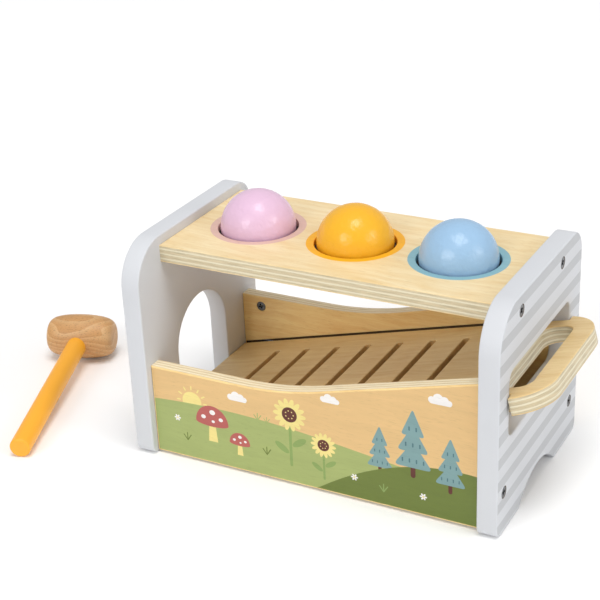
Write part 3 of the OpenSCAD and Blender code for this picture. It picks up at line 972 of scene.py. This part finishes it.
def dowel(name, ends, radius, material):
    """A round rod between two points, its first end rounded."""
    along = (ends[1] - ends[0]).normalized()
    side = along.cross(Vector((0, 0, 1))).normalized()
    wide, long = 2 * radius / MM, (ends[1] - ends[0]).length / MM
    profile = rounded_edge(DOWEL_ROUND, look()[0].flat_rim / MM, 5) + [(0, long)]
    made = slab(name, Upright(long), [(oval(0, 0, wide, wide, 0, 64), profile, None, BARE)], [material])
    turn = Matrix((side, side.cross(along), -along)).transposed().to_4x4()
    made.data.transform(Matrix.Translation(ends[0]) @ turn)
    return made


# Stage. A softbox is a name, azimuth, elevation, width as a share of its distance, and glow

FLOOR_HALF = 4.0
FLOOR_GLOW = 0.02
WORLD_GLOW = 0.50
LIT_PLACE = Vector((0.05, 0.02, 0.1))
LIGHT_DISTANCE = 8.0
SOFTBOXES = (
    ("overhead_softbox", 40, 78, 0.46, 0.47),
    ("front_softbox", -12, 27, 0.33, 0.23),
    ("side_softbox", 85, 27, 0.33, 0.21),
)
# The photograph's camera, fitted to the bench's edges
CAMERA_PLACE = Vector((395.69, -667.15, 457.02)) * MM
CAMERA_AZIMUTH = 0.5033
CAMERA_ELEVATION = 0.4409
CAMERA_ROLL = -0.04616
FOCAL_PIXELS = 1460.4
FRAME_PIXELS = 600


def direction(azimuth, elevation):
    """Unit vector from the object towards a place, azimuth 0 in front of it and turning towards +X."""
    level = math.cos(elevation)
    return Vector((math.sin(azimuth) * level, -math.cos(azimuth) * level, math.sin(elevation)))


def lay_floor(scene):
    """A matt white floor under everything."""
    corners = [(x * FLOOR_HALF, y * FLOOR_HALF, 0) for x, y in ((-1, -1), (1, -1), (1, 1), (-1, 1))]
    mesh = bpy.data.meshes.new("floor")
    mesh.from_pydata(corners, [], [(0, 1, 2, 3)])
    made, tree = start_material("matt_white_studio_floor")
    cloudy = mottle(tree, place_in_mm(tree), FLOOR_CLOUD, 2)
    tone = blend(tree, cloudy, srgb("#fbfbfb"), srgb("#fdfdfd"))
    glow = {"Emission Color": (1, 1, 1, 1), "Emission Strength": FLOOR_GLOW}
    mesh.materials.append(coat(made, tone, {"Roughness": 0.9, "Specular IOR Level": 0.1, **glow}))
    floor = bpy.data.objects.new("floor", mesh)
    scene.collection.objects.link(floor)


def hang_softbox(scene, name, azimuth, elevation, spread, glow):
    """A square light, the given degrees round and up from the bench, and facing it."""
    light = bpy.data.lights.new(name, "AREA")
    light.shape, light.size = "SQUARE", spread * LIGHT_DISTANCE
    light.energy = glow * (math.pi * LIGHT_DISTANCE) ** 2
    holder = bpy.data.objects.new(name, light)
    away = direction(math.radians(azimuth), math.radians(elevation))
    holder.location = LIT_PLACE + away * LIGHT_DISTANCE
    holder.rotation_euler = away.to_track_quat("Z", "Y").to_euler()
    scene.collection.objects.link(holder)


def set_camera(scene):
    """Places the camera where the photograph was taken from."""
    data = bpy.data.cameras.new("photo_camera")
    data.lens = FOCAL_PIXELS * data.sensor_width / FRAME_PIXELS
    data.clip_start, data.clip_end = 0.05, 20
    camera = bpy.data.objects.new("photo_camera", data)
    turn = Matrix.Rotation(CAMERA_AZIMUTH, 3, "Z") @ Matrix.Rotation(math.pi / 2 - CAMERA_ELEVATION, 3, "X")
    camera.rotation_euler = (turn @ Matrix.Rotation(CAMERA_ROLL, 3, "Z")).to_euler()
    camera.location = CAMERA_PLACE
    scene.collection.objects.link(camera)
    scene.camera = camera


# Operators


class BENCH_OT_panels(bpy.types.Operator):
    """Makes the two painted end panels with rounded edges"""

    bl_idname = "bench.panels"
    bl_label = "End Panels"

    def execute(self, context):
        sizes, colours = look()
        paint = colours.panel
        plain = sprayed_paint("satin_paint_on_fibreboard", paint, shine=0.3)
        striped = sprayed_paint("satin_paint_with_printed_stripes", paint, shine=0.3, ink=grey_stripes)
        # The screw holes' bare fibreboard is drawn darker than it is, painted shade for the gap round each screw
        # head
        bare = solid_wood("bare_fibreboard", colours.fibreboard, colours.fibreboard, roughness=0.9)
        for node, side, material in (("left_panel", -1, plain), ("right_panel", 1, striped)):
            plane = Plane(node, (0, side, 0), (0, 0, 1))
            edge = rounded_wall(plane, sizes.panel_round)
            walls = []
            for loop in plane.loops():
                panel_wall = (loop, edge, None, BARE)
                walls.append(screw_wall(loop, plane) if span(loop) < SCREW_SPAN else panel_wall)
            hand_in(slab(node + "_painted", plane, walls, [material, bare]), node)
        return {"FINISHED"}


class BENCH_OT_plate(bpy.types.Operator):
    """Makes the plywood top plate with its painted rings"""

    bl_idname = "bench.plate"
    bl_label = "Top Plate"

    def execute(self, context):
        sizes, colours = look()
        plane = Plane("top_plate", (1, 0, 0), (0, 1, 0))
        low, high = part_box("top_plate")
        outline, *holes = plane.loops()
        holes.sort(key=lambda hole: middle(hole).x)
        edge = rounded_wall(plane, sizes.plate_round)
        grip_low, grip_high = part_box("grip_ring_middle")
        ledge, floor = (high.z - grip_high.z) / MM, (high.z - grip_low.z) / MM
        bite = (grip_high.x - grip_low.x) / 2 / MM - span(holes[0]) / 4
        groove = [(0, ledge), (bite, ledge), (bite, floor), (0, floor)]
        bored = edge[: len(edge) // 2] + groove + edge[len(edge) // 2 :]
        turn, centre = (0, 0, 0), (low + high) / 2
        tones = colours.plate_face, colours.plate_figure
        veneer = plywood("birch_plywood_lacquered", *tones, plane.thickness, turn, centre, paleness=0.94)
        materials = [veneer]
        walls, shapes = [(outline, edge, None, BARE)], []
        for number, (hole, paint) in enumerate(zip(holes, ("pink", "orange", "blue")), 1):
            walls.append((hole, bored, None, (number, 0, ROUND_STEPS + 2)))
            wide = span(hole) / 2 + 2 * sizes.ring_width / MM
            shapes.append((number, oval(*middle(hole), wide, wide, 0, 96)))
            materials.append(screen_ink("ring_ink_" + paint, getattr(colours, "ring_" + paint), turn, centre))
        hand_in(slab("top_plate_ply", plane, walls, materials, shapes), "top_plate")
        return {"FINISHED"}


class BENCH_OT_rails(bpy.types.Operator):
    """Makes the two curved plywood rails and the picture on the front one"""

    bl_idname = "bench.rails"
    bl_label = "Side Rails"

    def execute(self, context):
        sizes, colours = look()
        turn = (math.pi / 2, 0, 0)
        tones = colours.rail_face, colours.rail_figure
        # Real light hardly reaches this deep narrow gap, so its wall is drawn nearly black
        dark = shade(colours.routed, 0.2), shade(colours.routed, 0.1)
        groove_wall = solid_wood("routed_groove_wall", *dark, roughness=0.8)
        for node, facing in (("front_rail", -1), ("back_rail", 1)):
            plane = Plane(node, (1, 0, 0), (0, 0, 1))
            low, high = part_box(node)
            centre = (low + high) / 2
            outline = plane.loops()[0]
            walls = [(outline, rounded_wall(plane, sizes.rail_round), None, BARE)]
            walls += [pit(loop, plane, NUT_PIT, facing, BARE) for loop in plane.loops(facing)[1:]]
            groove = shadow_groove(low.x / MM, high.x / MM)
            walls.append(pit(groove, plane, GROOVE_DEEP, facing, HOLLOW))
            name = node + "_birch_plywood"
            # Painted light: the rails' ply edges are drawn 1.15 times as pale as the core colours, standing in for
            # fill light that reaches them under the top plate
            veneer = plywood(name, *tones, plane.thickness, turn, centre, paleness=1.15)
            materials = [veneer, groove_wall]
            shapes = []
            if facing < 0:
                inks, shapes = printed_picture(outline, low, high, turn)
                materials += inks
            hand_in(slab(node + "_ply", plane, walls, materials, shapes), node)
        return {"FINISHED"}


class BENCH_OT_ramp(bpy.types.Operator):
    """Makes the slotted ramp board with its handle, and the runners that it slides on"""

    bl_idname = "bench.ramp"
    bl_label = "Ramp Board"

    def execute(self, context):
        sizes, colours = look()
        pull = ramp_axis()
        turn = (0, math.atan2(pull.z, pull.x), 0)
        tones = colours.board_face, colours.board_figure
        for node in ("ramp_board", "front_runner", "back_runner"):
            plane = Plane(node, pull, (0, 1, 0))
            if node == "ramp_board":
                centre = plane.normal * (plane.reach - plane.thickness / 2)
                edge = rounded_wall(plane, sizes.board_round)
                veneer = plywood("ramp_birch_plywood", *tones, plane.thickness, turn, centre, paleness=0.9)
                # Painted shade: the slots' walls wear a flat darker brown in place of the ply's striped edge, for
                # the shade inside the narrow slots
                slot_shade = colours.routed, shade(colours.routed, 0.7)
                materials = [veneer, solid_wood("routed_slot_wall", *slot_shade, roughness=0.7)]
            else:
                edge = rounded_wall(plane, sizes.runner_round)
                materials = [solid_wood(node + "_sanded_wood", *tones)]
            walls = [(loop, edge, None, SLOT_SHADE_ROWS if span(loop) < SLOT_SPAN else BARE) for loop in plane.loops()]
            hand_in(slab(node + "_wood", plane, walls, materials), node)
        return {"FINISHED"}


class BENCH_OT_balls(bpy.types.Operator):
    """Makes the three turned and painted wooden balls"""

    bl_idname = "bench.balls"
    bl_label = "Balls"

    def execute(self, context):
        sizes, colours = look()
        tree, names = turned_tree()
        paints = colours.ball_pink, colours.ball_orange, colours.ball_blue
        finish = {"roughness": 0.27, "peel": 2.2, "dimple": 0.16, "shine": 0.42}
        for turn, (node, paint) in enumerate(zip(("ball_left", "ball_middle", "ball_right"), paints)):
            low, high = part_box(node)
            across = high.x - low.x - sizes.ball_wave
            values = {
                "Length": across, "Diameter": across, "Flatness": 2.0, "Unevenness": sizes.ball_wave,
                "Grain": BALL_GRAIN, "Place": (low + high) / 2, "Turn": Euler((0.9, 0.5 + turn, 0.3)),
                "Material": sprayed_paint(node + "_satin_paint", paint, **finish),
            }
            hand_in(run_tree(node + "_painted", tree, names, values), node)
        return {"FINISHED"}


class BENCH_OT_grips(bpy.types.Operator):
    """Makes the rubber rings that hold the balls"""

    bl_idname = "bench.grips"
    bl_label = "Grip Rings"

    def execute(self, context):
        tree, names = grip_tree()
        rubber = moulded_rubber("moulded_rubber")
        for node in ("grip_ring_left", "grip_ring_middle", "grip_ring_right"):
            low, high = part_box(node)
            centre = (low + high) / 2
            corners = frame["nodes"][node].data.vertices
            bore = min(math.hypot(v.co.x - centre.x, v.co.y - centre.y) for v in corners)
            values = {
                "Inner": bore, "Outer": (high.x - low.x) / 2, "Height": high.z - low.z,
                "Rounding": GRIP_ROUND, "Place": centre, "Material": rubber,
            }
            hand_in(run_tree(node + "_rubber", tree, names, values), node)
        return {"FINISHED"}


class BENCH_OT_fasteners(bpy.types.Operator):
    """Sets the countersunk screws, the rail bolts and the barrel nuts"""

    bl_idname = "bench.fasteners"
    bl_label = "Fasteners"

    def execute(self, context):
        kit = fastener_tree()
        steel = zinc_steel("zinc_plated_steel")
        sides = {
            "plate_screws_left": -1, "plate_screws_right": 1, "rail_screws_left": -1, "rail_screws_right": 1,
            "rail_bolts": -1,
        }
        for seed, (node, side) in enumerate(sides.items()):
            low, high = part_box(node)
            head = (high.z - low.z) / 2 / MM
            face = high.x if side > 0 else low.x
            rows = [low.y + head * MM, high.y - head * MM]
            spots = [(face, y, (low.z + high.z) / 2) for y in rows]
            pattern = screw_pattern(node, head, (high.x - low.x) / MM)
            facing = Euler((0, side * math.pi / 2, 0))
            hand_in(set_fasteners(node + "_steel", kit, pattern, spots, facing, seed, steel), node)
        low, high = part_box("barrel_nuts")
        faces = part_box("front_rail")[1].y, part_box("back_rail")[0].y
        nuts = []
        for seed, (face, side) in enumerate(zip(faces, (1, -1)), 7):
            spots = [((low.x + high.x) / 2, face, (low.z + high.z) / 2)]
            facing = Euler((-side * math.pi / 2, 0, 0))
            pattern = nut_pattern("nut", (high.x - low.x) / 2 / MM, abs(low.y - faces[0]) / MM)
            nuts.append(set_fasteners("barrel_nuts_steel", kit, pattern, spots, facing, seed, steel))
        hand_in(joined(nuts), "barrel_nuts")
        return {"FINISHED"}


class BENCH_OT_mallet(bpy.types.Operator):
    """Makes the turned beech head and the painted dowel"""

    bl_idname = "bench.mallet"
    bl_label = "Mallet"

    def execute(self, context):
        sizes, colours = look()
        head, grip = frame["nodes"]["mallet_head"].data, frame["nodes"]["mallet_handle"].data
        low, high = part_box("mallet_head")
        centre = (low + high) / 2
        ends = sorted(end_points(grip), key=lambda end: -(end - centre).length)
        along = (ends[1] - ends[0]).normalized()
        across = Vector((0, 0, 1)).cross(along).normalized()
        reach = [(v.co - centre).dot(across) for v in head.vertices]
        radii = [((v.co - centre) - across * (v.co - centre).dot(across)).length for v in head.vertices]
        grain = (0, 0, -math.atan2(across.y, across.x))
        tree, names = turned_tree()
        values = {
            "Length": max(reach) - min(reach) - sizes.head_wave, "Diameter": 2 * max(radii) - sizes.head_wave,
            "Flatness": sizes.head_flatness, "Unevenness": sizes.head_wave, "Grain": HEAD_GRAIN,
            "Place": centre,
            "Turn": Matrix((along.cross(across), along, across)).transposed().to_euler(),
            "Material": turned_beech("turned_beech_oiled", centre, grain),
        }
        hand_in(run_tree("mallet_head_beech", tree, names, values), "mallet_head")
        paint = sprayed_paint("satin_paint_on_dowel", colours.mallet_paint, roughness=0.36)
        radius = max(((v.co - ends[0]) - along * (v.co - ends[0]).dot(along)).length for v in grip.vertices)
        hand_in(dowel("mallet_handle_painted", ends, radius, paint), "mallet_handle")
        return {"FINISHED"}


class BENCH_OT_stage(bpy.types.Operator):
    """Makes the pale floor, the soft studio light and the camera"""

    bl_idname = "bench.stage"
    bl_label = "Stage"

    def execute(self, context):
        scene = context.scene
        lay_floor(scene)
        world = bpy.data.worlds.new("white_studio")
        world.use_nodes = True
        background = world.node_tree.nodes["Background"]
        background.inputs[0].default_value = (1, 1, 1, 1)
        background.inputs[1].default_value = WORLD_GLOW
        scene.world = world
        scene.view_settings.view_transform = "Standard"
        for light in SOFTBOXES:
            hang_softbox(scene, *light)
        set_camera(scene)
        return {"FINISHED"}


class BENCH_PT_panel(bpy.types.Panel):
    """Lists the bench's pieces"""

    bl_idname = "BENCH_PT_panel"
    bl_label = "Pounding Bench"
    bl_space_type = "VIEW_3D"
    bl_region_type = "UI"
    bl_category = "Pounding Bench"

    def draw(self, context):
        for operator in OPERATORS:
            self.layout.operator(operator.bl_idname)


OPERATORS = (
    BENCH_OT_stage,
    BENCH_OT_panels,
    BENCH_OT_plate,
    BENCH_OT_rails,
    BENCH_OT_ramp,
    BENCH_OT_balls,
    BENCH_OT_grips,
    BENCH_OT_fasteners,
    BENCH_OT_mallet,
)
CLASSES = (BenchSizes, BenchColours) + OPERATORS + (BENCH_PT_panel,)


def register():
    """Registers the classes and gives the scene its sizes and colours."""
    for made in CLASSES:
        bpy.utils.register_class(made)
    bpy.types.Scene.bench_sizes = bpy.props.PointerProperty(type=BenchSizes)
    bpy.types.Scene.bench_colours = bpy.props.PointerProperty(type=BenchColours)


def unregister():
    """Takes everything back that register added."""
    del bpy.types.Scene.bench_sizes
    del bpy.types.Scene.bench_colours
    for made in reversed(CLASSES):
        bpy.utils.unregister_class(made)


def main():
    """Dresses the whole bench."""
    register()
    for operator in OPERATORS:
        group, name = operator.bl_idname.split(".")
        getattr(getattr(bpy.ops, group), name)()


if __name__ == "__main__":
    main()
